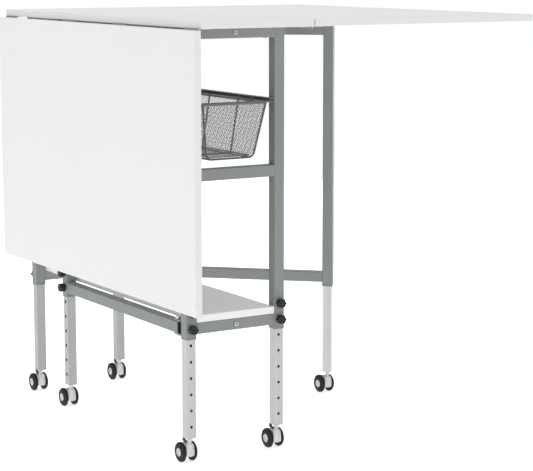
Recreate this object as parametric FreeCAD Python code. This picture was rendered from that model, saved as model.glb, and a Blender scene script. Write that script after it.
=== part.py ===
import FreeCAD, Part
import math
import os

# Folding cutting table: a narrow central top on a welded tube frame, a drop
# leaf each side (left one hanging, right one raised), two swing gates, six
# telescoping legs on twin-wheel casters, a shelf and a mesh basket drawer.
# Frame of the part: origin on the floor under the middle of the bounding box,
# X across the table (raised leaf towards +X), Y along it (drawer end at -Y),
# Z up. Millimetres.

os.makedirs("parts", exist_ok=True)
V = FreeCAD.Vector

# ---------------------------------------------------------------- dimensions
TOP_L = 976.0            # length of top and leaves, along Y
TOP_W = 270.0            # width of the central top, along X
BOARD_T = 16.0           # board thickness
TOP_H = 947.0            # height of the work surface
LEAF_W = 588.5           # width of a leaf
SEAM = 2.8               # gap between top and leaf
EDGE_R = 1.2             # rounding of the edge banding
UNDER = TOP_H - BOARD_T  # underside of the boards

AXIS_DROP = 1.6          # leaf hinge axis below the underside
HINGE_X = TOP_W / 2 + SEAM / 2
HINGE_Z = UNDER - AXIS_DROP
HINGE_Y = (-450.0, -130.0, 130.0, 450.0)
HINGE_LEN = 58.0
HINGE_PLATE = 24.7       # plate width beyond the knuckle
PLATE_T = 1.2
KNUCKLE_R = 2.6
PIN_R = 1.2

TUBE = 25.0              # outer tubes
WALL = 1.0
TUBE_R = 1.8             # outer corner radius of the tubes
POST_X = 110.0
POST_Y = 379.0
POST_Z0 = 277.0          # lower end of the outer tubes
COLLAR_Z0 = 271.0        # lower end of the plastic bushings
LOW_RAIL_Z = 282.0
MID_RAIL_Z = 608.0
TOP_RAIL_Z = UNDER - TUBE

LEG = 22.0               # inner telescoping legs
LEG_WALL = 1.3
LEG_Z0 = 55.0
LEG_Z1 = 370.0
HOLE_R = 4.1
HOLE_Z0 = 80.4
HOLE_PITCH = 35.6
HOLE_N = 8
KNOB_Z = (HOLE_Z0 + 6 * HOLE_PITCH, HOLE_Z0 + 7 * HOLE_PITCH)

GATE_X = 113.5           # gate pivots, beside the posts
GATE_Y = 341.0
GATE_R_LEFT = 538.0      # pivot to gate post
GATE_R_RIGHT = 517.0
GATE_OPEN = 46.7         # the right gate stands open by this angle
GATE_LOW_Z = 281.5
GATE_UP_Z = 888.0
GATE_STUB = 17.0         # rail end beyond the pivot
GATE_PLUG = 4.0
GATE_TOP_Z = 928.0
GLIDE_GAP = 0.3
PIVOT_R = 4.0

WHEEL_R = 21.8
TRAIL = 15.0
AXLE_R = 3.0
STEM_R = 5.0
HOUSING_W = 19.6
BRAKE_TURN = 12.0

RUN_Z0 = 766.4           # drawer runners
RUN_H = 10.6
RUN_X0 = 86.0
RUN_X1 = POST_X - TUBE / 2
RUN_T = 1.2
RUN_LIP = 93.2           # inner edge of the lower flange, clear of the basket wall

BASK_X = 91.5            # rim wire centre line
BASK_Y0 = -389.0         # front of the rim, in line with the post faces
BASK_Y1 = -26.0
BASK_Z1 = 770.0
BASK_Z0 = 650.0
HOOP_X1, HOOP_XB = 77.9, 57.7   # end hoops, half width at the rim and at the bottom
HOOP_Y1, HOOP_YB = 0.6, 21.6    # end hoops, distance inside the rim at the rim and at the bottom
ROD_X1, ROD_XB = 79.9, 59.6     # side rods, under the rim and at the bottom
ROD_Y = (-270.0, -145.0)
BASK_BEND = 14.0         # bend of the end hoops at their lower corners
STOP_Y = (-324.0, -314.0)  # drawer stop tabs on the basket rim

XMIN = -(HINGE_X + AXIS_DROP + BOARD_T)
XMAX = HINGE_X + SEAM / 2 + LEAF_W
SHIFT = -(XMIN + XMAX) / 2.0


# ------------------------------------------------------------------- helpers
def box(x0, x1, y0, y1, z0, z1):
    return Part.makeBox(x1 - x0, y1 - y0, z1 - z0, V(x0, y0, z0))


def cyl(r, p, d, h):
    return Part.makeCylinder(r, h, V(*p), V(*d))


def edges_along(shape, axis):
    out = []
    for e in shape.Edges:
        a, b = e.Vertexes[0].Point, e.Vertexes[-1].Point
        d = b - a
        comp = {"x": abs(d.x), "y": abs(d.y), "z": abs(d.z)}
        if comp[axis] > 0.999 * d.Length and d.Length > 1e-6:
            out.append(e)
    return out


def rounded(b, r, axis):
    return b.makeFillet(r, edges_along(b, axis))


def fuse(shapes):
    s = shapes[0]
    if len(shapes) > 1:
        s = s.multiFuse(shapes[1:])
    s = s.removeSplitter()
    return s


def cut(s, tools):
    return s.cut(tools) if tools else s


def solid(s):
    """The one solid of a boolean result."""
    if s.ShapeType == "Solid":
        return s
    assert len(s.Solids) == 1, len(s.Solids)
    return s.Solids[0]


def turned(s, angle, centre=(0, 0, 0), axis=(0, 0, 1)):
    t = s.copy()
    t.rotate(V(*centre), V(*axis), angle)
    return t


def moved(s, x, y, z=0.0):
    t = s.copy()
    t.translate(V(x, y, z))
    return t


def prism_yz(points, x0, x1):
    """A polygon in the YZ plane, pushed along X from x0 to x1."""
    pts = [V(x0, y, z) for y, z in points]
    face = Part.Face(Part.makePolygon(pts + [pts[0]]))
    return face.extrude(V(x1 - x0, 0, 0))


written = []


def put(name, shapes):
    if not isinstance(shapes, (list, tuple)):
        shapes = [shapes]
    solids = []
    for s in shapes:
        solids.extend([s] if s.ShapeType == "Solid" else s.Solids)
    for s in solids:
        assert s.isValid() and s.Volume > 0, name
    moved_solids = [moved(s, SHIFT, 0) for s in solids]
    shape = moved_solids[0] if len(moved_solids) == 1 else Part.makeCompound(moved_solids)
    shape.exportStep("parts/%s.step" % name)
    written.append((name, len(solids), sum(s.Volume for s in solids)))


# -------------------------------------------------------------- leaf hinges
def board(x0, x1, y0, y1, z0, z1):
    b = box(x0, x1, y0, y1, z0, z1)
    return b.makeFillet(EDGE_R, b.Edges)


SEGS = 5
SEG = HINGE_LEN / SEGS
SCREW_DY = (-19.0, 19.0)
SCREW_DX = 15.5
SCREW_R = 1.7
HEAD_R = 3.2
HEAD_T = 0.8
SCREW_IN = 10.0


def hinge_side(sign, segs, y):
    """One plate of a hinge at the open position. sign is the side of the axis
    (in X) that the plate lies on; the axis is at X = 0, Z = 0."""
    x0, x1 = 3.3, 3.3 + HINGE_PLATE
    z0, z1 = AXIS_DROP - PLATE_T, AXIS_DROP
    a, b = (x0, x1) if sign > 0 else (-x1, -x0)
    plate = box(a, b, y - HINGE_LEN / 2, y + HINGE_LEN / 2, z0, z1)
    pieces = [plate]
    for k in segs:
        ya = y - HINGE_LEN / 2 + k * SEG + 0.15
        yb = ya + SEG - 0.3
        pieces.append(cyl(KNUCKLE_R, (0, ya, 0), (0, 1, 0), yb - ya))
        pieces.append(box(min(0, sign * 3.4), max(0, sign * 3.4), ya, yb, z0, z1))
    s = fuse(pieces)
    tools = [cyl(PIN_R + 0.06, (0, y - HINGE_LEN, 0), (0, 1, 0), 2 * HINGE_LEN)]
    for dy in SCREW_DY:
        tools.append(cyl(HEAD_R + 0.05, (sign * SCREW_DX, y + dy, z0 - 1), (0, 0, 1), 1 + HEAD_T))
        tools.append(cyl(SCREW_R + 0.05, (sign * SCREW_DX, y + dy, z0), (0, 0, 1), 5))
    return solid(s.cut(tools))


def hinge_screw(sign, y):
    z0 = AXIS_DROP - PLATE_T
    out = []
    for dy in SCREW_DY:
        head = cyl(HEAD_R, (sign * SCREW_DX, y + dy, z0), (0, 0, 1), HEAD_T)
        shank = cyl(SCREW_R, (sign * SCREW_DX, y + dy, z0), (0, 0, 1), PLATE_T + SCREW_IN)
        slot = box(sign * SCREW_DX - 2.0, sign * SCREW_DX + 2.0, y + dy - 0.4, y + dy + 0.4, z0 - 1, z0 + 0.4)
        out.append(solid(fuse([head, shank]).cut(slot)))
    return out


def board_cuts(sign):
    """Room in a board for the knuckles and pilot holes, axis at X = Z = 0."""
    tools = []
    for y in HINGE_Y:
        tools.append(cyl(KNUCKLE_R + 0.35, (0, y - HINGE_LEN / 2 - 0.5, 0), (0, 1, 0), HINGE_LEN + 1.0))
        for dy in SCREW_DY:
            tools.append(cyl(SCREW_R + 0.03, (sign * SCREW_DX, y + dy, AXIS_DROP - 1), (0, 0, 1),
                             1 + SCREW_IN + 0.4))
    return tools


FIXED = (0, 2, 4)
SWING = (1, 3)

# --------------------------------------------------------------- central top
top = board(-TOP_W / 2, TOP_W / 2, -TOP_L / 2, TOP_L / 2, UNDER, TOP_H)
tools = []
for t in board_cuts(+1):
    tools.append(moved(t, -HINGE_X, 0, HINGE_Z))
for t in board_cuts(-1):
    tools.append(moved(t, HINGE_X, 0, HINGE_Z))
BS_X, BS_IN = 81.0, 10.0
for sx in (-1, 1):
    for sy in (-1, 1):
        tools.append(cyl(2.43, (sx * BS_X, sy * POST_Y, UNDER - 1), (0, 0, 1), 1 + BS_IN + 0.4))
put("table_top", solid(top.cut(tools)))

plates, pins, screws = [], [], []
for y in HINGE_Y:
    for side in (-1, 1):
        plates.append(moved(hinge_side(-side, FIXED, y), side * HINGE_X, 0, HINGE_Z))
        pins.append(cyl(PIN_R, (side * HINGE_X, y - HINGE_LEN / 2 - 0.4, HINGE_Z), (0, 1, 0), HINGE_LEN + 0.8))
        screws += [moved(s, side * HINGE_X, 0, HINGE_Z) for s in hinge_screw(-side, y)]
put("hinge_plates", plates)
put("hinge_pins", pins)
put("hinge_screws", screws)

# -------------------------------------------------------------------- leaves
for name, side, hang in (("left_leaf", -1, True), ("right_leaf", 1, False)):
    x0, x1 = sorted((side * SEAM / 2, side * (SEAM / 2 + LEAF_W)))
    leaf = board(x0, x1, -TOP_L / 2, TOP_L / 2, AXIS_DROP, AXIS_DROP + BOARD_T)
    leaf = solid(leaf.cut(board_cuts(side)))
    lp = [hinge_side(side, SWING, y) for y in HINGE_Y]
    ls = [s for y in HINGE_Y for s in hinge_screw(side, y)]

    def place(s):
        if hang:
            s = turned(s, -90.0, (0, 0, 0), (0, 1, 0))
        return moved(s, side * HINGE_X, 0, HINGE_Z)

    put(name, place(leaf))
    put(name + "_hinge_plates", [place(s) for s in lp])
    put(name + "_screws", [place(s) for s in ls])


# ------------------------------------------------------------- square tubes
def tube_z(cx, cy, z0, z1, w=TUBE, wall=WALL, r=TUBE_R):
    h = w / 2
    o = rounded(box(cx - h, cx + h, cy - h, cy + h, z0, z1), r, "z")
    i = box(cx - h + wall, cx + h - wall, cy - h + wall, cy + h - wall, z0 - 1, z1 + 1)
    return o.cut(i)


def tube_x(x0, x1, cy, z0, w=TUBE):
    o = rounded(box(x0, x1, cy - w / 2, cy + w / 2, z0, z0 + w), TUBE_R, "x")
    i = box(x0 - 1, x1 + 1, cy - w / 2 + WALL, cy + w / 2 - WALL, z0 + WALL, z0 + w - WALL)
    return o.cut(i)


def tube_y(y0, y1, cx, z0, w=TUBE):
    o = rounded(box(cx - w / 2, cx + w / 2, y0, y1, z0, z0 + w), TUBE_R, "y")
    i = box(cx - w / 2 + WALL, cx + w / 2 - WALL, y0 - 1, y1 + 1, z0 + WALL, z0 + w - WALL)
    return o.cut(i)


# ----------------------------------------------------------------- end frames
BOLT_R = 2.95
POST_IN = POST_X - TUBE / 2
RUN_SCREW_Z = RUN_Z0 + RUN_H / 2
SS_X = 60.0
for name, sy in (("front_end_frame", -1), ("rear_end_frame", 1)):
    cy = sy * POST_Y
    solids = []
    for sx in (-1, 1):
        p = tube_z(sx * POST_X, cy, POST_Z0, UNDER)
        holes = [cyl(3.06, (sx * POST_X, cy, z), (0, sy, 0), TUBE) for z in KNOB_Z]
        holes.append(cyl(2.05, (0, cy, RUN_SCREW_Z), (sx, 0, 0), POST_IN + 3.0))
        solids.append(solid(p.cut(holes)))
    for z0, hole in ((TOP_RAIL_Z, True), (MID_RAIL_Z, False), (LOW_RAIL_Z, True)):
        r = tube_x(-POST_IN, POST_IN, cy, z0)
        if hole:
            holes = [cyl(BOLT_R + 0.05, (0, cy - TUBE, z0 + TUBE / 2), (0, 1, 0), 2 * TUBE)]
            for sx in (-1, 1):
                x = sx * (BS_X if z0 == TOP_RAIL_Z else SS_X)
                holes.append(cyl(2.43, (x, cy, z0 - 1), (0, 0, 1), TUBE + 2))
            r = r.cut(holes)
        solids.append(solid(r))
    put(name, solids)

# ----------------------------------------------------------------- stretchers
ST_Y = POST_Y - TUBE / 2
for name, z0 in (("upper_stretcher", TOP_RAIL_Z), ("lower_stretcher", LOW_RAIL_Z)):
    o = rounded(box(-TUBE / 2, TUBE / 2, -ST_Y, ST_Y, z0, z0 + TUBE), TUBE_R, "y")
    i = box(-TUBE / 2 + WALL, TUBE / 2 - WALL, -ST_Y + 20, ST_Y - 20, z0 + WALL, z0 + TUBE - WALL)
    b = [cyl(BOLT_R + 0.05, (0, sy * (ST_Y + 1), z0 + TUBE / 2), (0, -sy, 0), 24.0) for sy in (-1, 1)]
    put(name, solid(o.cut([i] + b)))

# ----------------------------------------------------- frame bolts and screws
bolts = []
for sy in (-1, 1):
    for z in (TOP_RAIL_Z + TUBE / 2, LOW_RAIL_Z + TUBE / 2):
        face = POST_Y + TUBE / 2
        head = cyl(5.0, (0, sy * face, z), (0, sy, 0), 3.0)
        head = head.makeFillet(1.4, [e for e in head.Edges
                                     if abs(e.CenterOfMass.y - sy * (face + 3.0)) < 0.01])
        shank = cyl(BOLT_R, (0, sy * face, z), (0, -sy, 0), TUBE + 20.0)
        hexa = Part.Face(Part.makePolygon(
            [V(2.2 * math.cos(math.radians(a)), sy * (face - 2.5), z + 2.2 * math.sin(math.radians(a)))
             for a in range(0, 361, 60)])).extrude(V(0, sy * 8.0, 0))
        bolts.append(solid(fuse([head, shank]).cut(hexa)))
put("frame_bolts", bolts)

bsc = []
for sx in (-1, 1):
    for sy in (-1, 1):
        for x, z0 in ((BS_X, TOP_RAIL_Z), (SS_X, LOW_RAIL_Z)):
            head = cyl(4.5, (sx * x, sy * POST_Y, z0 - 2.5), (0, 0, 1), 2.5)
            head = head.makeFillet(1.2, [e for e in head.Edges if abs(e.CenterOfMass.z - z0 + 2.5) < 0.01])
            shank = cyl(2.4, (sx * x, sy * POST_Y, z0 - 1.0), (0, 0, 1), 1.0 + TUBE + BS_IN)
            slot = [box(sx * x - 2.4, sx * x + 2.4, sy * POST_Y - 0.5, sy * POST_Y + 0.5, z0 - 4, z0 - 1.5),
                    box(sx * x - 0.5, sx * x + 0.5, sy * POST_Y - 2.4, sy * POST_Y + 2.4, z0 - 4, z0 - 1.5)]
            bsc.append(solid(fuse([head, shank]).cut(slot)))
put("board_screws", bsc)

# ---------------------------------------------------------------------- shelf
SHELF_Z0 = LOW_RAIL_Z + TUBE
shelf = board(-POST_IN + 0.5, POST_IN - 0.5, -POST_Y - TUBE / 2, POST_Y + TUBE / 2, SHELF_Z0, SHELF_Z0 + BOARD_T)
put("bottom_shelf", solid(shelf.cut([cyl(2.43, (sx * SS_X, sy * POST_Y, SHELF_Z0 - 1), (0, 0, 1), 1 + BS_IN + 0.4)
                                     for sx in (-1, 1) for sy in (-1, 1)])))


# ------------------------------------------------- bushings, legs and knobs
def bushing():
    h = TUBE / 2
    c = rounded(box(-h, h, -h, h, COLLAR_Z0, POST_Z0), TUBE_R, "z")
    low = [e for e in c.Edges if abs(e.BoundBox.ZMax - COLLAR_Z0) < 1e-6]
    c = c.makeFillet(1.6, low)
    k = TUBE / 2 - WALL - 0.05
    ins = box(-k, k, -k, k, POST_Z0 - 1, POST_Z0 + 11.0)
    n = LEG / 2 + 0.1
    return solid(fuse([c, ins]).cut(box(-n, n, -n, n, COLLAR_Z0 - 1, POST_Z0 + 20)))


def leg():
    """A telescoping leg at X = Y = 0 with its holes on the -Y side."""
    t = tube_z(0, 0, LEG_Z0, LEG_Z1, LEG, LEG_WALL, 1.0)
    holes = [cyl(HOLE_R, (0, 0, HOLE_Z0 + k * HOLE_PITCH), (0, -1, 0), LEG) for k in range(HOLE_N)]
    t = solid(t.cut(holes))
    k = LEG / 2 - LEG_WALL - 0.05
    ins = box(-k, k, -k, k, LEG_Z0, LEG_Z0 + 21.4)
    ins = solid(ins.cut(cyl(STEM_R + 0.06, (0, 0, LEG_Z0 - 1), (0, 0, 1), 21.6)))
    return [t, ins]


KNOB_R = 10.1
KNOB_H = 14.5


def knob(z):
    """A lobed knob on the -Y face of a post at X = Y = 0, with its screw."""
    f = TUBE / 2
    lobes = [cyl(7.6, (0, -f - 2.4, z), (0, -1, 0), KNOB_H - 2.4)]
    for k in range(6):
        a = math.radians(60 * k)
        lobes.append(cyl(3.0, (7.1 * math.cos(a), -f - 2.4, z + 7.1 * math.sin(a)), (0, -1, 0), KNOB_H - 2.4))
    lobed = fuse(lobes)
    lathe = cyl(KNOB_R, (0, -f - 2.4, z), (0, -1, 0), KNOB_H - 2.4)
    lathe = lathe.makeFillet(1.8, [e for e in lathe.Edges if abs(e.CenterOfMass.y + f + KNOB_H) < 0.01])
    body = lobed.common(lathe)
    neck = cyl(6.2, (0, -f - 0.3, z), (0, -1, 0), 2.6)
    stem = cyl(3.0, (0, -LEG / 2 - 0.2, z), (0, -1, 0), 4.0)
    groove = cyl(6.2, (0, -f - KNOB_H + 1.1, z), (0, -1, 0), 2.0).cut(
        cyl(4.0, (0, -f - KNOB_H + 2.0, z), (0, -1, 0), 5.0))
    return solid(fuse([body, neck, stem]).cut(groove))


right_post = (GATE_X + GATE_R_RIGHT * math.sin(math.radians(GATE_OPEN)),
              GATE_Y - GATE_R_RIGHT * math.cos(math.radians(GATE_OPEN)))
LEGS = [
    # name, x, y, turn about Z from a leg whose holes face -Y
    ("front_left", -POST_X, -POST_Y, 0.0),
    ("front_right", POST_X, -POST_Y, 0.0),
    ("rear_left", -POST_X, POST_Y, 180.0),
    ("rear_right", POST_X, POST_Y, 180.0),
    ("left_gate", -GATE_X, -GATE_Y + GATE_R_LEFT, -90.0),
    ("right_gate", right_post[0], right_post[1], 90.0 + GATE_OPEN),
]
leg_shapes = leg()
knob_shapes = [knob(z) for z in KNOB_Z]
one_bushing = bushing()
put("post_bushings", [moved(one_bushing, x, y) for n, x, y, a in LEGS[:4]])
for n, x, y, a in LEGS:
    put(n + "_leg", [moved(turned(s, a), x, y) for s in leg_shapes])
    put(n + "_knobs", [moved(turned(s, a), x, y) for s in knob_shapes])
for n, x, y, a in LEGS[4:]:
    put(n + "_bushing", moved(turned(one_bushing, a), x, y))


# ---------------------------------------------------------------- swing gates
def gate(r):
    """A gate with its pivot at X = Y = 0, its post at Y = r, outer face -X."""
    post = tube_z(0, r, POST_Z0, GATE_TOP_Z)
    post = solid(post.cut([cyl(3.06, (0, r, z), (-1, 0, 0), TUBE) for z in KNOB_Z]))
    rails = []
    plugs = []
    for z0 in (GATE_LOW_Z, GATE_UP_Z):
        t = tube_y(-GATE_STUB, r - TUBE / 2, 0, z0)
        rails.append(solid(t.cut(cyl(PIVOT_R + 0.06, (0, 0, z0 - 1), (0, 0, 1), TUBE + 2))))
        h, k = TUBE / 2, TUBE / 2 - WALL - 0.05
        fl = rounded(box(-h, h, -GATE_STUB - GATE_PLUG, -GATE_STUB, z0, z0 + TUBE), TUBE_R, "y")
        ins = box(-k, k, -GATE_STUB - 1, -GATE_STUB + 9.0, z0 + WALL + 0.05, z0 + TUBE - WALL - 0.05)
        plugs.append(solid(fuse([fl, ins])))
    h, k = TUBE / 2, TUBE / 2 - WALL - 0.05
    cap = rounded(box(-h, h, r - h, r + h, GATE_TOP_Z, UNDER - GLIDE_GAP), TUBE_R, "z")
    cap = cap.makeFillet(0.9, [e for e in cap.Edges if abs(e.BoundBox.ZMin - UNDER + GLIDE_GAP) < 1e-6])
    ins = box(-k, k, r - k, r + k, GATE_TOP_Z - 10, GATE_TOP_Z + 1)
    return [post] + rails, plugs, solid(fuse([cap, ins]))


for n, r, px, py, a in (("left_gate", GATE_R_LEFT, -GATE_X, -GATE_Y, 0.0),
                        ("right_gate", GATE_R_RIGHT, GATE_X, GATE_Y, 180.0 + GATE_OPEN)):
    frame, plugs, cap = gate(r)
    put(n + "_frame", [moved(turned(s, a), px, py) for s in frame])
    put(n + "_plugs", [moved(turned(s, a), px, py) for s in plugs])
    put(n + "_glide", moved(turned(cap, a), px, py))

# Brackets (a pair of tabs above and below each gate rail) and pivot bolts.
TAB_T = 3.0
TAB_GAP = 0.5
TAB_W = 10.0
tabs, pbolts = [], []


def hex_prism(af, cx, cy, z0, z1):
    rr = af / math.sqrt(3.0)
    pts = [V(cx + rr * math.cos(math.radians(a)), cy + rr * math.sin(math.radians(a)), z0) for a in range(0, 361, 60)]
    return Part.Face(Part.makePolygon(pts)).extrude(V(0, 0, z1 - z0))


for s in (-1, 1):
    px, py = s * GATE_X, s * GATE_Y
    face = s * (POST_Y - TUBE / 2)
    for z0 in (GATE_LOW_Z, GATE_UP_Z):
        lo, hi = z0 - TAB_GAP - TAB_T, z0 + TUBE + TAB_GAP
        for z in (lo, hi):
            y0, y1 = sorted((py, face))
            t = fuse([box(px - TAB_W, px + TAB_W, y0, y1, z, z + TAB_T), cyl(TAB_W, (px, py, z), (0, 0, 1), TAB_T)])
            tabs.append(solid(t.cut(cyl(PIVOT_R + 0.03, (px, py, z - 1), (0, 0, 1), TAB_T + 2))))
        shank = cyl(PIVOT_R, (px, py, lo - 7.0), (0, 0, 1), hi + TAB_T - lo + 7.0)
        head = hex_prism(12.0, px, py, hi + TAB_T, hi + TAB_T + 4.5)
        pbolts.append(solid(fuse([shank, head])))
        nut = hex_prism(12.0, px, py, lo - 5.0, lo)
        pbolts.append(solid(nut.cut(cyl(PIVOT_R + 0.03, (px, py, lo - 9), (0, 0, 1), 20))))
put("gate_brackets", tabs)
put("gate_pivot_bolts", pbolts)

# --------------------------------------------------------------------- casters
HW = HOUSING_W / 2
HOUSE_R = 20.6
AXZ = WHEEL_R
TRUN = (4.0, 11.0)       # brake lever trunnion from the axle, along Y and Z


def housing(brake):
    """Swivel housing with its stem on Z; the axle lies TRAIL behind it."""
    disc = cyl(HOUSE_R, (-HW, TRAIL, AXZ), (1, 0, 0), HOUSING_W)
    fore = prism_yz([(-3.6, AXZ - 9.0), (-5.7, AXZ + 1.0), (-5.2, AXZ + 9.0), (-3.0, AXZ + 17.6), (TRAIL - 8.0, AXZ + 19.6),
                     (TRAIL, AXZ + HOUSE_R), (TRAIL, AXZ - 9.0)], -HW, HW)
    body = fuse([disc, fore])
    body = body.cut(box(-HW - 1, HW + 1, TRAIL - 40, TRAIL + 40, -5, AXZ - 7.5))
    rim = [e for e in body.Edges if abs(abs(e.BoundBox.XMin) - HW) < 1e-6 and e.BoundBox.XLength < 1e-6]
    body = body.makeFillet(1.2, rim)
    column = cyl(7.0, (0, 0, AXZ - 7.5), (0, 0, 1), 26.5)
    boss = Part.makeCone(7.0, 4.5, 6.0, V(0, 0, AXZ + 19.0), V(0, 0, 1))
    neck = cyl(4.5, (0, 0, AXZ + 24.0), (0, 0, 1), LEG_Z0 - 0.4 - AXZ - 24.0)
    flange = fuse([Part.makeCone(4.5, 6.7, 1.8, V(0, 0, LEG_Z0 - 4.0), V(0, 0, 1)),
                   cyl(6.7, (0, 0, LEG_Z0 - 2.2), (0, 0, 1), 1.8)])
    stem = cyl(STEM_R, (0, 0, LEG_Z0 - 1.0), (0, 0, 1), 20.0)
    body = fuse([body, column, boss, neck, flange, stem])
    tools = [cyl(AXLE_R + 0.06, (-HW - 1, TRAIL, AXZ), (1, 0, 0), HOUSING_W + 2)]
    if brake:
        tools.append(box(-2.4, 2.4, TRAIL - 4.5, TRAIL + 12.0, AXZ + 5.0, AXZ + 26.0))
        tools.append(cyl(2.06, (-4.6, TRAIL + TRUN[0], AXZ + TRUN[1]), (1, 0, 0), 9.2))
    return solid(body.cut(tools))


def wheel_profile(side, points):
    pts = [V(side * x, TRAIL, AXZ + r) for x, r in points]
    face = Part.Face(Part.makePolygon(pts + [pts[0]]))
    return face.revolve(V(0, TRAIL, AXZ), V(1, 0, 0), 360)


def arc_points(cx, cr, rad, a0, a1, n):
    return [(cx + rad * math.cos(math.radians(a0 + (a1 - a0) * k / n)),
             cr + rad * math.sin(math.radians(a0 + (a1 - a0) * k / n))) for k in range(n + 1)]


HUB_R = 9.4


def wheels():
    out = []
    for side in (-1, 1):
        tyre = ([(10.3, HUB_R + 0.02), (10.3, 20.1)] + arc_points(12.0, 20.1, 1.7, 180, 90, 4)[1:]
                + [(13.6, WHEEL_R)] + arc_points(13.6, 17.2, 4.6, 90, 15, 6)[1:]
                + [(18.7, 15.6), (19.0, 11.8), (18.6, 10.2), (18.6, HUB_R + 0.02)])
        out.append(solid(wheel_profile(side, tyre)))
        hub = [(10.3, AXLE_R), (10.3, HUB_R), (18.4, HUB_R), (19.1, 8.9), (19.4, 7.9), (19.2, 6.6),
               (18.3, 5.9), (18.3, 4.6), (19.0, 3.9), (19.6, 2.2), (19.7, 0.0), (14.0, 0.0), (14.0, AXLE_R)]
        out.append(solid(wheel_profile(side, hub)))
    out.append(cyl(AXLE_R, (-14.0, TRAIL, AXZ), (1, 0, 0), 28.0))
    return out


def brake_lever():
    outline = [(-3.5, 21.1), (7.4, 21.1), (9.5, 22.8), (10.2, 27.2), (8.8, 30.6), (5.2, 31.8), (5.0, 30.1),
               (7.4, 29.3), (8.3, 27.0), (7.6, 23.7), (6.4, 23.0), (-3.5, 23.0)]
    pedal = prism_yz([(TRAIL + y, AXZ + z) for y, z in outline], -3.4, 3.4)
    web = prism_yz([(TRAIL + y, AXZ + z) for y, z in
                    [(2.0, 9.4), (6.0, 9.4), (7.0, 22.0), (0.0, 22.0)]], -2.0, 2.0)
    trun = cyl(2.0, (-4.4, TRAIL + TRUN[0], AXZ + TRUN[1]), (1, 0, 0), 8.8)
    return solid(fuse([pedal, web, trun]))


wheel_shapes = wheels()
braked, plain, lever = housing(True), housing(False), brake_lever()
for n, x, y, a in LEGS:
    has_brake = not n.endswith("gate")
    put(n + "_caster_housing", moved(braked if has_brake else plain, x, y))
    put(n + "_caster_wheels", [moved(s, x, y) for s in wheel_shapes])
    if has_brake:
        put(n + "_brake_lever", moved(lever, x, y))

# ------------------------------------------------------------ drawer runners
runs, rscrews = [], []
for s in (-1, 1):
    yl = POST_Y + TUBE / 2
    x0, x1 = sorted((s * RUN_X0, s * RUN_X1))
    o = box(x0, x1, -yl, yl, RUN_Z0, RUN_Z0 + RUN_H)
    a, b = sorted((s * (RUN_X0 - 1), s * (RUN_X1 - RUN_T)))
    i = box(a, b, -yl - 1, yl + 1, RUN_Z0 + RUN_T, RUN_Z0 + RUN_H - RUN_T)
    c, d = sorted((s * (RUN_X0 - 1), s * RUN_LIP))
    low = box(c, d, -yl - 1, yl + 1, RUN_Z0 - 1, RUN_Z0 + RUN_H / 2)
    o = o.cut([i, low] + [cyl(2.05, (s * 80, sy * POST_Y, RUN_SCREW_Z), (s, 0, 0), 30) for sy in (-1, 1)])
    runs.append(solid(o))
    for sy in (-1, 1):
        head = cyl(3.2, (s * (RUN_X1 - RUN_T), sy * POST_Y, RUN_SCREW_Z), (-s, 0, 0), 1.3)
        shank = cyl(2.0, (s * (RUN_X1 - RUN_T), sy * POST_Y, RUN_SCREW_Z), (s, 0, 0), RUN_T + WALL + 0.5)
        rscrews.append(solid(fuse([head, shank])))
put("drawer_runners", runs)
put("runner_screws", rscrews)


# --------------------------------------------------------------- basket drawer
def rod(p, q, r):
    d = V(*q) - V(*p)
    return Part.makeCylinder(r, d.Length, V(*p), d)


def loop(x, y0, y1, z, r, cr):
    """A closed horizontal wire loop with corner radius cr."""
    k = cr * math.sqrt(0.5)
    p = [V(-x + cr, y0, z), V(x - cr, y0, z), V(x, y0 + cr, z), V(x, y1 - cr, z),
         V(x - cr, y1, z), V(-x + cr, y1, z), V(-x, y1 - cr, z), V(-x, y0 + cr, z)]
    m = [V(x - cr + k, y0 + cr - k, z), V(x - cr + k, y1 - cr + k, z),
         V(-x + cr - k, y1 - cr + k, z), V(-x + cr - k, y0 + cr - k, z)]
    path = []
    for i in range(4):
        path.append(Part.LineSegment(p[2 * i], p[2 * i + 1]).toShape())
        path.append(Part.Arc(p[2 * i + 1], m[i], p[(2 * i + 2) % 8]).toShape())
    ring = Part.Wire(Part.makeCircle(r, p[0], V(1, 0, 0)))
    return Part.Wire(path).makePipeShell([ring], True, False)


def elbow(p, r):
    return Part.makeSphere(r + 0.05, V(*p))


wires = [loop(BASK_X, BASK_Y0, BASK_Y1, BASK_Z1, 2.5, 9.0),
         rod((-95.5, BASK_Y0, BASK_Z1 + 0.2), (95.5, BASK_Y0, BASK_Z1 + 0.2), 2.2)]
WIRE = 1.9


def hoop(xt, yt, xb, yb, r, bend):
    """A wire from the rim down one side, across the bottom and up the other, in a leaning plane."""
    side = V(xt - xb, yt - yb, BASK_Z1 - BASK_Z0).normalize()
    turn = math.pi - math.acos(-side.x)
    run = bend * math.tan(turn / 2)
    c = V(xb, yb, BASK_Z0)
    a, b = c + side * run, c - V(run, 0, 0)
    mid = (a + b) * 0.5 - c
    far = bend / math.cos(turn / 2)
    m = c + mid * ((far - bend) / mid.Length)

    def flip(p):
        return V(-p.x, p.y, p.z)

    top = V(xt, yt, BASK_Z1)
    path = [Part.LineSegment(top, a).toShape(), Part.Arc(a, m, b).toShape(), Part.LineSegment(b, flip(b)).toShape(),
            Part.Arc(flip(b), flip(m), flip(a)).toShape(), Part.LineSegment(flip(a), flip(top)).toShape()]
    ring = Part.Wire(Part.makeCircle(r, top, side))
    return Part.Wire(path).makePipeShell([ring], True, False)


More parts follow.
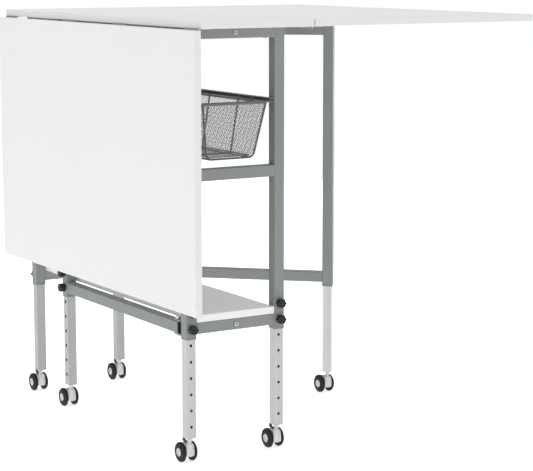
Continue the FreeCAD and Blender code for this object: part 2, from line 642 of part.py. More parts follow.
wires.append(hoop(HOOP_X1, BASK_Y0 + HOOP_Y1, HOOP_XB, BASK_Y0 + HOOP_YB, 2.2, BASK_BEND))
wires.append(hoop(HOOP_X1, BASK_Y1 - HOOP_Y1, HOOP_XB, BASK_Y1 - HOOP_YB, 2.2, BASK_BEND))
for y in ROD_Y:
    for s in (-1, 1):
        wires.append(rod((s * BASK_X, y, BASK_Z1), (s * ROD_X1, y, BASK_Z1), WIRE))
        wires.append(elbow((s * ROD_X1, y, BASK_Z1), WIRE))
        wires.append(rod((s * ROD_X1, y, BASK_Z1), (s * ROD_XB, y, BASK_Z0), WIRE))
        wires.append(elbow((s * ROD_XB, y, BASK_Z0), WIRE))
    wires.append(rod((-ROD_XB, y, BASK_Z0), (ROD_XB, y, BASK_Z0), WIRE))
for s in (-1, 1):
    x = s * (HOOP_XB - 9.0)
    wires.append(rod((x, BASK_Y0 + HOOP_YB, BASK_Z0 - 0.2), (x, BASK_Y1 - HOOP_YB, BASK_Z0 - 0.2), WIRE))
    j, k = sorted((s * 84.3, s * 85.4))
    wires.append(box(j, k, STOP_Y[0], STOP_Y[1], 760.0, 777.0))
    e, g = sorted((s * 85.0, s * 90.0))
    wires.append(box(e, g, STOP_Y[0], STOP_Y[1], BASK_Z1 - 1.0, BASK_Z1 + 1.0))
put("basket_frame", solid(fuse(wires)))


def tub(x1, y0, y1, z1, xb, yb0, yb1, zb, c):
    def rect(x, a, b, z):
        return Part.makePolygon([V(-x + c, a, z), V(x - c, a, z), V(x, a + c, z), V(x, b - c, z), V(x - c, b, z),
                                 V(-x + c, b, z), V(-x, b - c, z), V(-x, a + c, z), V(-x + c, a, z)])
    return Part.makeLoft([rect(xb, yb0, yb1, zb), rect(x1, y0, y1, z1)], True, True)


MESH_T = 1.0
MESH_C = 6.0
MX1, MXB = 77.5, 57.6
MY1, MYB = 3.2, 23.8
MZ1, MZB = BASK_Z1 - 0.5, BASK_Z0 + 2.3
outer = tub(MX1, BASK_Y0 + MY1, BASK_Y1 - MY1, MZ1, MXB, BASK_Y0 + MYB, BASK_Y1 - MYB, MZB, MESH_C)
kx = (MX1 - MXB) / (MZ1 - MZB)
ky = (MYB - MY1) / (MZ1 - MZB)
ta, tb = MY1 + MESH_T - ky, MYB + MESH_T - ky * MESH_T
inner = tub(MX1 - MESH_T + kx, BASK_Y0 + ta, BASK_Y1 - ta, MZ1 + 1.0,
            MXB - MESH_T + kx * MESH_T, BASK_Y0 + tb, BASK_Y1 - tb, MZB + MESH_T, MESH_C - 0.59 * MESH_T)
put("basket_mesh", solid(outer.cut(inner)))

for name, n, v in sorted(written):
    print("%-28s %2d solids %10.0f mm3" % (name, n, v))
print(len(written), "nodes; shift", SHIFT, "right gate post", right_post)
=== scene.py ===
import math

import bmesh
import bpy
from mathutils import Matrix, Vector


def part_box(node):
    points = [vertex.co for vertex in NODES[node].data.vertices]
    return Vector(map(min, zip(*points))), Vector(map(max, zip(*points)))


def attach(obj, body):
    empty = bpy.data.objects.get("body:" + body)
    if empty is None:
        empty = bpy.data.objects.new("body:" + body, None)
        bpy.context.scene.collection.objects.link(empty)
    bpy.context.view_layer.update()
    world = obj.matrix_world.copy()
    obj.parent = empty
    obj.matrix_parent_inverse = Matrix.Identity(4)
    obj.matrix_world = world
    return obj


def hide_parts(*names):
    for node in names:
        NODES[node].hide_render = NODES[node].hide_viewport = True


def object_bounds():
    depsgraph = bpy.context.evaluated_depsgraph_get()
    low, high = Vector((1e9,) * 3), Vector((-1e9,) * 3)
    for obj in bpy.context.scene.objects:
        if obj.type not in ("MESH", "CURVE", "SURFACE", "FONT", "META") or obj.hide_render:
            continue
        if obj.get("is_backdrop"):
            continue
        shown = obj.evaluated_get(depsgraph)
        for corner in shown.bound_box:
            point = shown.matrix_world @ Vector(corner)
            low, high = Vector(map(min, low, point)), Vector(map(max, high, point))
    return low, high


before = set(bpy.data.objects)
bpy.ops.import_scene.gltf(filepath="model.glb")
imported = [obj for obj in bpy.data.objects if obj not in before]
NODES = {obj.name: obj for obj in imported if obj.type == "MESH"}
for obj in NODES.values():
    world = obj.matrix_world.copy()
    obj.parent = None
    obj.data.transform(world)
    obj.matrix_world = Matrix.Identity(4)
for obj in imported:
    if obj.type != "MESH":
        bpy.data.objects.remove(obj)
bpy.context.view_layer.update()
SHIFT = -0.28615          # middle of the central section along X, in metres


def P(x, y, z):
    """Millimetres about the central section to the part's frame in metres."""
    return Vector((x / 1000.0 + SHIFT, y / 1000.0, z / 1000.0))


# ------------------------------------------------------------------ materials
class Surface:
    """A Principled material with helpers for its node graph."""

    def __init__(self, name, base, rough, metal=0.0, spec=0.5, coat=0.0, coat_rough=0.1):
        self.m = bpy.data.materials.new(name)
        self.m.use_nodes = True
        self.nt = self.m.node_tree
        self.b = self.nt.nodes["Principled BSDF"]
        i = self.b.inputs
        i["Base Color"].default_value = (*base, 1.0)
        i["Roughness"].default_value = rough
        i["Metallic"].default_value = metal
        i["Specular IOR Level"].default_value = spec
        if coat:
            i["Coat Weight"].default_value = coat
            i["Coat Roughness"].default_value = coat_rough
        self.base = base
        self.tc = self.nt.nodes.new("ShaderNodeTexCoord")
        self.normal_in = None

    def link(self, a, b):
        self.nt.links.new(a, b)

    def math(self, op, a, b=None, c=None):
        n = self.nt.nodes.new("ShaderNodeMath")
        n.operation = op
        for k, v in enumerate((a, b, c)):
            if v is None:
                continue
            if isinstance(v, (int, float)):
                n.inputs[k].default_value = v
            else:
                self.link(v, n.inputs[k])
        return n.outputs[0]

    def noise(self, scale, detail=3.0, rough=0.55, stretch=None):
        n = self.nt.nodes.new("ShaderNodeTexNoise")
        n.inputs["Scale"].default_value = scale
        n.inputs["Detail"].default_value = detail
        n.inputs["Roughness"].default_value = rough
        src = self.tc.outputs["Object"]
        if stretch:
            mp = self.nt.nodes.new("ShaderNodeMapping")
            mp.inputs["Scale"].default_value = stretch
            self.link(src, mp.inputs["Vector"])
            src = mp.outputs["Vector"]
        self.link(src, n.inputs["Vector"])
        return n.outputs["Fac"]

    def cells(self, scale):
        n = self.nt.nodes.new("ShaderNodeTexVoronoi")
        n.inputs["Scale"].default_value = scale
        self.link(self.tc.outputs["Object"], n.inputs["Vector"])
        return n.outputs["Distance"]

    def remap(self, v, a, b, c, d, smooth=False):
        n = self.nt.nodes.new("ShaderNodeMapRange")
        if smooth:
            n.interpolation_type = "SMOOTHSTEP"
        n.inputs["From Min"].default_value = a
        n.inputs["From Max"].default_value = b
        n.inputs["To Min"].default_value = c
        n.inputs["To Max"].default_value = d
        self.link(v, n.inputs["Value"])
        return n.outputs["Result"]

    def mix(self, fac, a, b, blend="MIX"):
        n = self.nt.nodes.new("ShaderNodeMix")
        n.data_type = "RGBA"
        n.blend_type = blend
        for k, v in ((0, fac), (6, a), (7, b)):
            if isinstance(v, (int, float)):
                n.inputs[k].default_value = v
            elif isinstance(v, tuple):
                n.inputs[k].default_value = (*v, 1.0)
            else:
                self.link(v, n.inputs[k])
        return n.outputs[2]

    def tones(self, fac, lo, hi):
        """Base colour between lo and hi times the base, by fac."""
        a = tuple(c * lo for c in self.base)
        b = tuple(c * hi for c in self.base)
        return self.mix(fac, a, b)

    def colour(self, out):
        self.link(out, self.b.inputs["Base Color"])

    def roughness(self, out):
        self.link(out, self.b.inputs["Roughness"])

    def bump(self, height, strength, distance):
        n = self.nt.nodes.new("ShaderNodeBump")
        n.inputs["Strength"].default_value = strength
        n.inputs["Distance"].default_value = distance
        self.link(height, n.inputs["Height"])
        if self.normal_in is not None:
            self.link(self.normal_in, n.inputs["Normal"])
        self.normal_in = n.outputs["Normal"]
        self.link(self.normal_in, self.b.inputs["Normal"])

    def axis(self, which, source="Object"):
        n = self.nt.nodes.new("ShaderNodeSeparateXYZ")
        self.link(self.tc.outputs[source], n.inputs[0])
        return n.outputs["XYZ".index(which)]


def board_material(name, thick, u, v, lo, hi, white=0.80):
    """White melamine faces with a pearl grain, and an edge band with its glue line. thick, u and v are the board's axes."""
    s = Surface(name, (white, white, white), 0.42, spec=0.42)
    face = s.remap(s.math("ABSOLUTE", s.axis(thick, "Normal")), 0.6, 0.9, 0.0, 1.0)
    cloud = s.noise(5.0, 4.0, 0.6)
    grain = s.noise(900.0, 2.0, 0.6)
    flat = s.tones(s.math("MULTIPLY_ADD", grain, 0.35, s.math("MULTIPLY", cloud, 0.65)), 0.965, 1.02)
    band = s.tones(s.noise(60.0, 3.0, 0.6), 0.93, 0.975)
    col = s.mix(face, band, flat)
    gaps = []
    for a in (u, v):
        k = "XYZ".index(a)
        mid, half = (lo[k] + hi[k]) / 2, (hi[k] - lo[k]) / 2
        gaps.append(s.math("SUBTRACT", half, s.math("ABSOLUTE", s.math("SUBTRACT", s.axis(a), mid))))
    inset = s.math("MINIMUM", gaps[0], gaps[1])
    line = s.math("MULTIPLY", s.math("COMPARE", inset, 0.0019, 0.00016), face)
    col = s.mix(s.math("MULTIPLY", line, 0.22), col, (0.45, 0.44, 0.42))
    s.colour(col)
    s.roughness(s.remap(s.math("MULTIPLY_ADD", grain, 0.5, s.math("MULTIPLY", cloud, 0.5)), 0.3, 0.7, 0.34, 0.5))
    s.bump(s.noise(420.0, 2.0, 0.5), 0.10, 0.00012)
    s.bump(grain, 0.12, 0.00006)
    s.bump(line, 0.25, -0.0001)
    return s.m


def powder_coat(name, base, rough=0.5, speck=1.0):
    """Textured powder coat: fine orange peel, pale specks and soft cloudiness."""
    s = Surface(name, base, rough, spec=0.45)
    fine = s.noise(1600.0, 2.0, 0.65)
    cloud = s.noise(9.0, 4.0, 0.6)
    col = s.tones(s.math("MULTIPLY_ADD", fine, 0.55, s.math("MULTIPLY", cloud, 0.45)), 0.88, 1.10)
    specks = s.remap(s.cells(1500.0), 0.16, 0.26, 0.22 * speck, 0.0, True)
    s.colour(s.mix(specks, col, tuple(min(1.0, c * 1.9) for c in base)))
    s.roughness(s.remap(fine, 0.3, 0.7, rough - 0.07, rough + 0.09))
    s.bump(s.noise(700.0, 3.0, 0.6), 0.22, 0.00015)
    s.bump(fine, 0.18, 0.00005)
    return s.m


def silver_paint(name, base, along, metal=0.55):
    """Satin silver over drawn tube: faint draw lines along its length and metallic flake."""
    s = Surface(name, base, 0.38, metal=metal, spec=0.5)
    st = {"Z": (900.0, 900.0, 5.0), "X": (5.0, 900.0, 900.0)}[along]
    draw = s.noise(1.0, 3.0, 0.6, st)
    streak = s.noise(1.0, 2.0, 0.5, tuple(0.30 * c for c in st))
    flake = s.noise(3200.0, 1.0, 0.5)
    cloud = s.noise(14.0, 3.0, 0.6)
    f = s.math("MULTIPLY_ADD", draw, 0.5, s.math("MULTIPLY_ADD", flake, 0.2, s.math("MULTIPLY", cloud, 0.3)))
    g = s.math("MULTIPLY_ADD", streak, 0.55, s.math("MULTIPLY", f, 0.45))
    s.colour(s.tones(s.remap(g, 0.3, 0.7, 0.0, 1.0), 0.84, 1.14))
    s.roughness(s.remap(streak, 0.3, 0.7, 0.3, 0.46))
    s.bump(draw, 0.14, 0.00006)
    s.bump(flake, 0.08, 0.00003)
    return s.m


def moulded(name, base, rough, grain=1100.0, spec=0.5):
    """Moulded plastic or rubber with a spark-eroded grain and slight scuffing."""
    s = Surface(name, base, rough, spec=spec)
    g = s.noise(grain, 3.0, 0.6)
    c = s.noise(45.0, 4.0, 0.65)
    s.colour(s.tones(s.math("MULTIPLY_ADD", g, 0.4, s.math("MULTIPLY", c, 0.6)), 0.7, 1.35))
    s.roughness(s.remap(c, 0.3, 0.7, rough - 0.08, rough + 0.12))
    s.bump(g, 0.25, 0.00008)
    return s.m


def plated(name, base, rough=0.3):
    """Zinc plate with fine brushing and a mild bloom."""
    s = Surface(name, base, rough, metal=1.0)
    g = s.noise(1400.0, 3.0, 0.6)
    c = s.noise(160.0, 3.0, 0.6)
    s.colour(s.tones(s.math("MULTIPLY_ADD", g, 0.4, s.math("MULTIPLY", c, 0.6)), 0.82, 1.1))
    s.roughness(s.remap(c, 0.3, 0.7, rough - 0.08, rough + 0.12))
    s.bump(g, 0.15, 0.00004)
    return s.m


MAT = {}
GREY = (0.236, 0.254, 0.260)
MAT["grey"] = powder_coat("grey_powder_coat", GREY)
MAT["grey_plastic"] = moulded("grey_bushing_plastic", (0.20, 0.215, 0.22), 0.48)
MAT["silver"] = silver_paint("silver_leg_paint", (0.495, 0.505, 0.50), "Z")
# Darker and lighter copies of the same silver leg paint: the darker copy is painted shade on the rear legs and the left
# gate leg, the lighter copy is painted light on the right gate leg.
MAT["silver_painted_shade"] = silver_paint("silver_leg_paint_painted_shade", (0.405, 0.415, 0.41), "Z")
MAT["silver_painted_light"] = silver_paint("silver_leg_paint_painted_light", (0.62, 0.63, 0.625), "Z")
MAT["black"] = moulded("black_knob_plastic", (0.012, 0.0125, 0.0135), 0.42, 1100.0, 0.4)
MAT["tyre"] = moulded("tyre_rubber", (0.012, 0.0125, 0.013), 0.58, 800.0, 0.32)
MAT["lever"] = moulded("brake_lever_plastic", (0.085, 0.088, 0.092), 0.4)
MAT["caster"] = silver_paint("caster_lacquer", (0.62, 0.63, 0.64), "Z")
MAT["hub"] = silver_paint("hub_lacquer", (0.62, 0.625, 0.63), "X")
MAT["zinc"] = plated("zinc_plate", (0.76, 0.77, 0.78))
MAT["hinge"] = plated("dull_hinge_plate", (0.42, 0.43, 0.43), 0.42)
MAT["insert"] = silver_paint("bright_insert_zinc", (0.93, 0.93, 0.93), "Z", 0.0)
# Near-black material used as painted shade: it lines the bolt sockets and the thread insert bores, where the real holes
# only fall into shadow.
MAT["socket"] = moulded("painted_shade_dark", (0.03, 0.031, 0.032), 0.5)
MAT["bolt"] = plated("dull_bolt_zinc", (0.60, 0.61, 0.62), 0.36)
MAT["wire"] = powder_coat("basket_wire_coat", (0.115, 0.12, 0.125), 0.36, 0.5)
MAT["mesh"] = powder_coat("basket_mesh_coat", (0.17, 0.175, 0.18), 0.38, 0.5)

for board, thick, u, v in (("table_top", "Z", "X", "Y"), ("right_leaf", "Z", "X", "Y"),
                           ("bottom_shelf", "Z", "X", "Y"), ("left_leaf", "X", "Y", "Z")):
    lo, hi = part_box(board)
    # The bottom shelf gets a whiter board colour (0.89 against 0.80) as painted light, lifting the same melamine out of
    # the shade under the top.
    MAT[board] = board_material("white_board_" + board, thick, u, v, lo, hi, 0.89 if board == "bottom_shelf" else 0.80)


def look_of(n):
    if n in ("table_top", "left_leaf", "right_leaf", "bottom_shelf"):
        return n
    # These legs take the painted-shade copy of the silver paint, and the right gate leg takes the painted-light copy.
    if n in ("rear_left_leg", "rear_right_leg", "left_gate_leg"):
        return "silver_painted_shade"
    if n == "right_gate_leg":
        return "silver_painted_light"
    if n.endswith("_leg"):
        return "silver"
    if n.endswith("_brake_lever"):
        return "lever"
    if n.endswith(("_knobs", "_plugs", "_glide")):
        return "black"
    if n.endswith(("bushing", "bushings")):
        return "grey_plastic"
    if n.endswith("_caster_housing"):
        return "caster"
    if n.endswith("_caster_wheels"):
        return "tyre"
    if n == "basket_mesh":
        return "mesh"
    if n == "basket_frame":
        return "wire"
    if n.endswith("hinge_plates"):
        return "hinge"
    if n == "frame_bolts":
        return "bolt"
    if n.endswith(("_frame", "_stretcher", "_brackets", "_runners")):
        return "grey"
    return "zinc"


for n, o in NODES.items():
    if not o.material_slots:
        o.data.materials.append(MAT[look_of(n)])
    for ms in o.material_slots:
        ms.material = MAT[look_of(n)]


# -------------------------------------------------------------------- helpers
def add_mesh(name, verts, faces, mats, face_mats=None, smooth=None):
    me = bpy.data.meshes.new(name)
    me.from_pydata([tuple(v) for v in verts], [], faces)
    for m in mats:
        me.materials.append(m)
    if face_mats:
        me.polygons.foreach_set("material_index", face_mats)
    if smooth:
        me.polygons.foreach_set("use_smooth", [smooth is True or smooth[i] for i in range(len(faces))])
    me.update()
    o = bpy.data.objects.new(name, me)
    bpy.context.scene.collection.objects.link(o)
    return o


# ------------------------------------------------------------- caster wheels
LEGS = {
    "front_left": (-110.0, -379.0), "front_right": (110.0, -379.0),
    "rear_left": (-110.0, 379.0), "rear_right": (110.0, 379.0),
    "left_gate": (-113.5, 197.0), "right_gate": (489.758516, -13.568088),
}
TRAIL, AXLE_Z = 15.0, 21.8


def arc(cx, cr, rad, a0, a1, n):
    return [(cx + rad * math.cos(math.radians(a0 + (a1 - a0) * k / n)),
             cr + rad * math.sin(math.radians(a0 + (a1 - a0) * k / n))) for k in range(n + 1)]


TYRE = ([(10.3, 9.42), (10.3, 20.1)] + arc(12.0, 20.1, 1.7, 180, 90, 5)[1:]
        + [(12.4, 21.8), (12.55, 21.4), (12.85, 21.4), (13.0, 21.8), (13.6, 21.8)]
        + arc(13.6, 17.2, 4.6, 90, 15, 9)[1:]
        + [(18.6, 16.4), (18.9, 15.2), (18.55, 14.5), (18.9, 13.6), (19.0, 11.8), (18.6, 10.2), (18.6, 9.42)])
HUB = [(10.3, 3.05), (10.3, 9.4), (18.4, 9.4), (18.8, 9.2), (19.1, 8.9), (19.3, 8.4), (19.4, 7.9), (19.35, 7.2),
       (19.2, 6.6), (18.6, 6.2), (18.3, 5.9), (18.3, 4.6), (18.6, 4.2), (19.0, 3.9), (19.4, 3.0), (19.6, 2.2),
       (19.68, 1.1), (19.7, 0.0)]


def lathe(points, side, cx, cy, cz, verts, faces, fm, mat, seg=72, closed=True):
    """Turns (x, r) points about the axle line; r = 0 becomes a single point."""
    rings = []
    for x, r in points:
        if r < 1e-6:
            rings.append([len(verts)])
            verts.append(P(cx + side * x, cy, cz))
            continue
        ring = []
        for k in range(seg):
            a = 2 * math.pi * k / seg
            ring.append(len(verts))
            verts.append(P(cx + side * x, cy + r * math.cos(a), cz + r * math.sin(a)))
        rings.append(ring)
    pairs = list(zip(rings, rings[1:]))
    if closed:
        pairs.append((rings[-1], rings[0]))
    for a, b in pairs:
        for k in range(seg):
            j = (k + 1) % seg
            if len(a) == 1 and len(b) == 1:
                break
            if len(b) == 1:
                f = (a[k], a[j], b[0])
            elif len(a) == 1:
                f = (a[0], b[j], b[k])
            else:
                f = (a[k], a[j], b[j], b[k])
            faces.append(f if side > 0 else tuple(reversed(f)))
            fm.append(mat)


for leg, (lx, ly) in LEGS.items():
    verts, faces, fm = [], [], []
    for side in (-1, 1):
        lathe(TYRE, side, lx, ly + TRAIL, AXLE_Z, verts, faces, fm, 0)
        lathe(HUB, side, lx, ly + TRAIL, AXLE_Z, verts, faces, fm, 1, closed=False)
    lathe([(-10.4, 3.0), (10.4, 3.0)], 1, lx, ly + TRAIL, AXLE_Z, verts, faces, fm, 1, 32, closed=False)
    w = add_mesh(leg + "_wheel_pair", verts, faces, [MAT["tyre"], MAT["hub"]], fm, True)
    bm = bmesh.new()
    bm.from_mesh(w.data)
    bmesh.ops.recalc_face_normals(bm, faces=bm.faces)
    for e in bm.edges:
        if len(e.link_faces) == 2 and e.calc_face_angle(0.0) > math.radians(38):
            e.smooth = False
    bm.to_mesh(w.data)
    bm.free()
    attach(w, leg + "_wheels")
    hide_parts(leg + "_caster_wheels")

# ----------------------------------------------------- threaded leg inserts, bores in painted shade
HOLE_TURN = {"front_left": 0.0, "front_right": 0.0, "rear_left": 180.0, "rear_right": 180.0,
             "left_gate": -90.0, "right_gate": 90.0 + 46.7}
INSERT = [(10.9, 3.97), (4.3, 3.97), (4.2, 3.7), (4.3, 3.4)]       # (distance from the leg's axis, radius)
for k in range(7):
    INSERT += [(4.45 + 0.75 * k, 3.1), (4.82 + 0.75 * k, 3.25)]
INSERT += [(9.7, 3.12), (10.75, 3.86), (10.9, 3.92)]


def insert_ring(lx, ly, turn, z, verts, faces, fm, seg=36):
    """One insert: a countersunk ring turned about the hole's axis, its bore cut with thread ridges and given the
    near-black painted shade of the hole's depth.
    """
    a = math.radians(turn)
    out = Vector((math.sin(a), -math.cos(a), 0.0))
    side = Vector((math.cos(a), math.sin(a), 0.0))
    rings = []
    for d, r in INSERT:
        ring = []
        for k in range(seg):
            t = 2 * math.pi * k / seg
            q = Vector((lx, ly, z)) + out * d + side * (r * math.cos(t)) + Vector((0, 0, r * math.sin(t)))
            ring.append(len(verts))
            verts.append(P(q.x, q.y, q.z))
        rings.append(ring)
    for i, (ra, rb) in enumerate(zip(rings, rings[1:] + rings[:1])):
        for k in range(seg):
            j = (k + 1) % seg
            faces.append((ra[k], ra[j], rb[j], rb[k]))
            # The threaded bore faces take material 1, the near-black painted shade, and the countersink and rim take
            # the bright insert zinc.
            fm.append(1 if 3 <= i < len(INSERT) - 3 else 0)


for leg, (lx, ly) in LEGS.items():
    if leg == "left_gate":
        continue
    verts, faces, fm = [], [], []
    for k in range(8):
        insert_ring(lx, ly, HOLE_TURN[leg], 80.4 + 35.6 * k, verts, faces, fm)
    o = add_mesh(leg + "_thread_inserts", verts, faces, [MAT["insert"], MAT["socket"]], fm)
    bm = bmesh.new()
    bm.from_mesh(o.data)
    bmesh.ops.recalc_face_normals(bm, faces=bm.faces)
    bm.to_mesh(o.data)
    bm.free()
    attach(o, leg + "_leg")

# ---------------------------------------------------------------- bolt sockets, lined with painted shade
def socket_shade_cup(sy, z, verts, faces):
    """A thin six-sided near-black cup that lines the hexagon socket of a frame bolt: painted shade standing for the
    shadow deep in the socket.
    """
    f = sy * 391.5
    rings = []
    for d, r in ((2.6, 2.13), (-2.3, 2.13), (-2.0, 1.85), (2.6, 1.85)):
        ring = []
        for k in range(6):
            a = math.radians(60 * k)
            ring.append(len(verts))
            verts.append(P(r * math.cos(a), f + sy * d, z + r * math.sin(a)))
        rings.append(ring)
    for ra, rb in zip(rings, rings[1:] + rings[:1]):
        if ra is rings[1]:
            continue
        for k in range(6):
            j = (k + 1) % 6
            faces.append((ra[k], ra[j], rb[j], rb[k]))
    faces.append(tuple(rings[1]))
    faces.append(tuple(reversed(rings[2])))


verts, faces = [], []
for sy in (-1, 1):
    for z in (918.5, 294.5):
        socket_shade_cup(sy, z, verts, faces)
# The socket cups carry the near-black painted shade.
o = add_mesh("bolt_socket_painted_shade", verts, faces, [MAT["socket"]])
bm = bmesh.new()
bm.from_mesh(o.data)
bmesh.ops.recalc_face_normals(bm, faces=bm.faces)
bm.to_mesh(o.data)
bm.free()
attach(o, "frame")

# ----------------------------------------------------------------- basket mesh
BX1, BXB = 77.4, 57.3         # half width of the mesh tub at its mouth and base
BY0, BY1 = -385.6, -29.4      # its ends at the mouth
BYB0, BYB1 = -364.9, -50.1    # and at the base
BZ1, BZB = 769.0, 652.8
CORNER = 0.8
KNEE = 7.5                    # bevel along the long bottom edges, following the bends of the end hoops
PITCH_U, PITCH_V = 5.5, 9.2   # diamond width and height
STRAND_W, STRAND_T = 0.85, 0.3


def ring8(x, a, b, z, c):
    return [Vector(p) for p in ((-x + c, a, z), (x - c, a, z), (x, a + c, z), (x, b - c, z),
                                (x - c, b, z), (-x + c, b, z), (-x, b - c, z), (-x, a + c, z))]


def clip_line(p, d, poly):
    """The part of the line p + t d inside a convex polygon (counter-clockwise, 2-D)."""
    t0, t1 = -1e9, 1e9
    n = len(poly)
    for i in range(n):
        a, b = poly[i], poly[(i + 1) % n]
        nx, ny = -(b[1] - a[1]), b[0] - a[0]
        den = nx * d[0] + ny * d[1]
        num = nx * (a[0] - p[0]) + ny * (a[1] - p[1])
        if abs(den) < 1e-12:
            if num > 0:
                return None
            continue
        t = num / den
        if den > 0:
            t0 = max(t0, t)
        else:
            t1 = min(t1, t)
    return (t0, t1) if t1 - t0 > 0.4 else None


def mesh_panel(corners, verts, faces, phase=0.0):
    """Two families of flat strands that cross as diamonds, filling a planar convex panel."""
    o = corners[0]
    ex = (corners[1] - o).normalized()
    nz = ex.cross(corners[-1] - o).normalized()
    ey = nz.cross(ex)
    poly = [((c - o).dot(ex), (c - o).dot(ey)) for c in corners]
    us, vs = [p[0] for p in poly], [p[1] for p in poly]
    ln = math.hypot(PITCH_U, PITCH_V)
    for sgn in (1, -1):
        d = (PITCH_U / ln, sgn * PITCH_V / ln)
        side = (-d[1], d[0])
        height = sgn * 0.16
        rise = (max(vs) - min(vs)) * PITCH_U / PITCH_V
        k0 = math.floor((min(us) - rise - PITCH_U) / PITCH_U)
        k1 = math.ceil((max(us) + rise + PITCH_U) / PITCH_U)
        for k in range(k0, k1 + 1):
            p = (k * PITCH_U + phase, min(vs))
            span = clip_line(p, d, poly)
            if not span:
                continue
            base = len(verts)
            for t in span:
                for w, h in ((-1, -1), (1, -1), (1, 1), (-1, 1)):
                    u = p[0] + d[0] * t + side[0] * w * STRAND_W / 2
                    v = p[1] + d[1] * t + side[1] * w * STRAND_W / 2
                    q = o + ex * u + ey * v + nz * (height + h * STRAND_T / 2)
                    verts.append(P(q.x, q.y, q.z))
            b = base
            faces.extend([(b, b + 1, b + 5, b + 4), (b + 1, b + 2, b + 6, b + 5), (b + 2, b + 3, b + 7, b + 6),
                          (b + 3, b, b + 4, b + 7), (b + 3, b + 2, b + 1, b), (b + 4, b + 5, b + 6, b + 7)])


def hem(ring_a, ring_b, verts, faces, t=0.5):
    """A closed folded strip between two rings, t either side of the sheet."""
    n = len(ring_a)
    c = sum(ring_a, Vector()) / n
    base = len(verts)
    for r in (ring_a, ring_b):
        for s in (1, -1):
            for p in r:
                out = Vector((p.x - c.x, p.y - c.y, 0.0))
                out = Vector((math.copysign(min(abs(out.x), 1.0), out.x) if abs(out.x) > 40 else 0.0,
                              math.copysign(1.0, out.y) if abs(out.y) > 140 else 0.0, 0.0))
                q = p + out * (s * t)
                verts.append(P(q.x, q.y, q.z))
    ao, ai, bo, bi = (base + n * k for k in range(4))
    for k in range(n):
        j = (k + 1) % n
        faces.extend([(ao + k, ao + j, bo + j, bo + k), (ai + j, ai + k, bi + k, bi + j),
                      (ai + k, ai + j, ao + j, ao + k), (bo + k, bo + j, bi + j, bi + k)])


kz = (KNEE * 0.985) / (BZ1 - BZB)
mouth = ring8(BX1, BY0, BY1, BZ1, CORNER)
knee = ring8(BXB + (BX1 - BXB) * kz, BYB0 + (BY0 - BYB0) * kz, BYB1 + (BY1 - BYB1) * kz, BZB + (BZ1 - BZB) * kz, CORNER)
foot = ring8(BXB - KNEE, BYB0, BYB1, BZB, CORNER)
verts, faces = [], []
for k in range(8):
    j = (k + 1) % 8
    ph = 0.5 * PITCH_U * (k % 2)
    if k in (0, 4):
        mesh_panel([foot[k], foot[j], knee[j], mouth[j], mouth[k], knee[k]], verts, faces, phase=ph)
    else:
        mesh_panel([knee[k], knee[j], mouth[j], mouth[k]], verts, faces, phase=ph)
        mesh_panel([foot[k], foot[j], knee[j], knee[k]], verts, faces, phase=ph)
mesh_panel(foot, verts, faces)


def between(ra, rb, f):
    return [a.lerp(b, f) for a, b in zip(ra, rb)]


hem(between(knee, mouth, 1.0 - 0.036), mouth, verts, faces, 0.42)
hem(foot, between(foot, knee, 0.3), verts, faces, 0.42)
basket = add_mesh("basket_diamond_mesh", verts, faces, [MAT["mesh"]])
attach(basket, "drawer")
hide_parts("basket_mesh")


# ------------------------------------------------------------------ weld beads
def weld(p, q, n1, n2, verts, faces, r=1.5):
    """A rippled fillet bead from p to q, in the corner between faces with normals n1 and n2."""
    axis = (q - p)
    length = axis.length
    axis.normalize()
    steps = max(6, int(length / 0.8))
    m = 6
    base = len(verts)
    for k in range(steps + 1):
        t = k / steps
        ease = min(1.0, 6 * t + 0.25, 6 * (1 - t) + 0.25)
        rr = r * ease * (1.0 + 0.13 * math.sin(2 * math.pi * t * length / 2.3))
        c = p + axis * (length * t)
        for i in range(m + 1):
            a = 0.5 * math.pi * i / m
            v = c + n1 * (rr * math.cos(a)) + n2 * (rr * math.sin(a)) - (n1 + n2) * 0.25
            verts.append(P(v.x, v.y, v.z))
    for k in range(steps):
        for i in range(m):
            a = base + k * (m + 1) + i
            faces.append((a, a + 1, a + m + 2, a + m + 1))


def frame_welds(name, sy):
    verts, faces = [], []
    cy = sy * 379.0
    X, Y = Vector((1, 0, 0)), Vector((0, 1, 0))
    for z0 in (906.0, 608.0, 282.0):
        for sx in (-1, 1):
            x = sx * 97.5
            for zz, nz in ((z0, -1), (z0 + 25.0, 1)):
                if z0 == 906.0 and nz > 0:
                    continue
                if z0 == 282.0 and nz > 0:
                    continue
                weld(Vector((x, cy - 10.5, zz)), Vector((x, cy + 10.5, zz)), -X * sx, Vector((0, 0, nz)), verts, faces)
    o = add_mesh(name, verts, faces, [MAT["grey"]], smooth=True)
    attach(o, "frame")


frame_welds("front_frame_welds", -1)
frame_welds("rear_frame_welds", 1)


def gate_welds(name, body, px, py, r, turn):
    a = math.radians(turn)

    def R(v):
        return Vector((v.x * math.cos(a) - v.y * math.sin(a), v.x * math.sin(a) + v.y * math.cos(a), v.z))

    o3 = Vector((px, py, 0))
    verts, faces = [], []
    y = r - 12.5
    for z0 in (281.5, 888.0):
        for zz, nz in ((z0, -1), (z0 + 25.0, 1)):
            weld(o3 + R(Vector((-10.5, y, zz))), o3 + R(Vector((10.5, y, zz))), R(Vector((0, -1, 0))),
                 Vector((0, 0, nz)), verts, faces)
    o = add_mesh(name, verts, faces, [MAT["grey"]], smooth=True)
    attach(o, body)


gate_welds("left_gate_welds", "left_gate", -113.5, -341.0, 538.0, 0.0)
gate_welds("right_gate_welds", "right_gate", 113.5, 341.0, 517.0, 180.0 + 46.7)

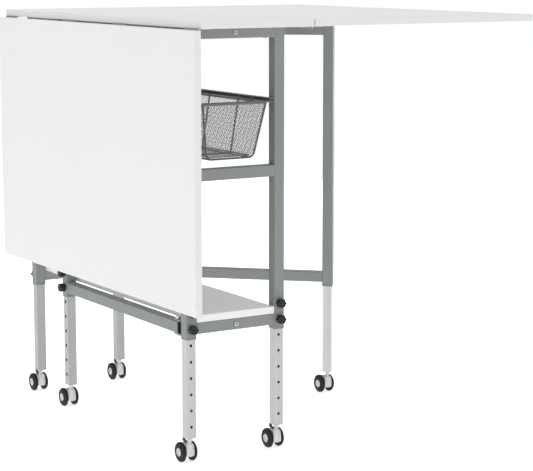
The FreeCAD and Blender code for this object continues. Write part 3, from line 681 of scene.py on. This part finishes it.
# ----------------------------------------------------------- floor and studio
floor = add_mesh("floor", [(-60, -60, 0), (60, -60, 0), (60, 60, 0), (-60, 60, 0)], [(0, 1, 2, 3)], [])
fs = Surface("pale_floor", (0.93, 0.93, 0.93), 0.8, spec=0.1)
fs.colour(fs.tones(fs.noise(3.0, 3.0, 0.5), 0.99, 1.01))
fs.b.inputs["Emission Color"].default_value = (1.0, 1.0, 1.0, 1.0)
fs.b.inputs["Emission Strength"].default_value = 0.6
floor.data.materials.append(fs.m)
floor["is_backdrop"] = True

world = bpy.data.worlds.new("studio")
bpy.context.scene.world = world
world.use_nodes = True
bg = world.node_tree.nodes["Background"]
bg.inputs["Color"].default_value = (1.0, 1.0, 1.0, 1.0)
bg.inputs["Strength"].default_value = 0.45


def softbox(name, loc, target, size, power):
    d = bpy.data.lights.new(name, "AREA")
    d.shape = "RECTANGLE"
    d.size, d.size_y = size
    d.energy = power
    o = bpy.data.objects.new(name, d)
    o.location = loc
    o.rotation_euler = (Vector(target) - Vector(loc)).to_track_quat("-Z", "Y").to_euler()
    bpy.context.scene.collection.objects.link(o)


softbox("front_softbox", (-0.3, -4.8, 2.3), (-0.1, 0.0, 0.55), (2.6, 2.0), 29.0)
softbox("left_softbox", (-4.6, 0.2, 2.4), (-0.3, 0.0, 0.5), (2.4, 2.0), 34.0)
softbox("top_softbox", (0.2, 0.3, 3.8), (0.0, 0.0, 0.6), (3.4, 3.4), 72.0)
softbox("right_softbox", (3.2, 2.8, 0.5), (-0.1, 0.0, 0.4), (2.4, 0.7), 33.0)

# --------------------------------------------------------------------- camera
cam = bpy.data.cameras.new("photo_camera")
cam.sensor_width = 36.0
cam.lens = 120.561
co = bpy.data.objects.new("photo_camera", cam)
co.location = (-2.2156, -3.6265, 1.0749)
co.rotation_euler = (math.radians(90.0 - 8.874), 0.0, math.radians(-31.808))
bpy.context.scene.collection.objects.link(co)
bpy.context.scene.camera = co
bpy.context.scene.view_settings.view_transform = "Standard"
bpy.context.scene.view_settings.look = "None"

# ----------------------------------------------------------------------- size
bpy.context.view_layer.update()
lo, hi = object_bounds()
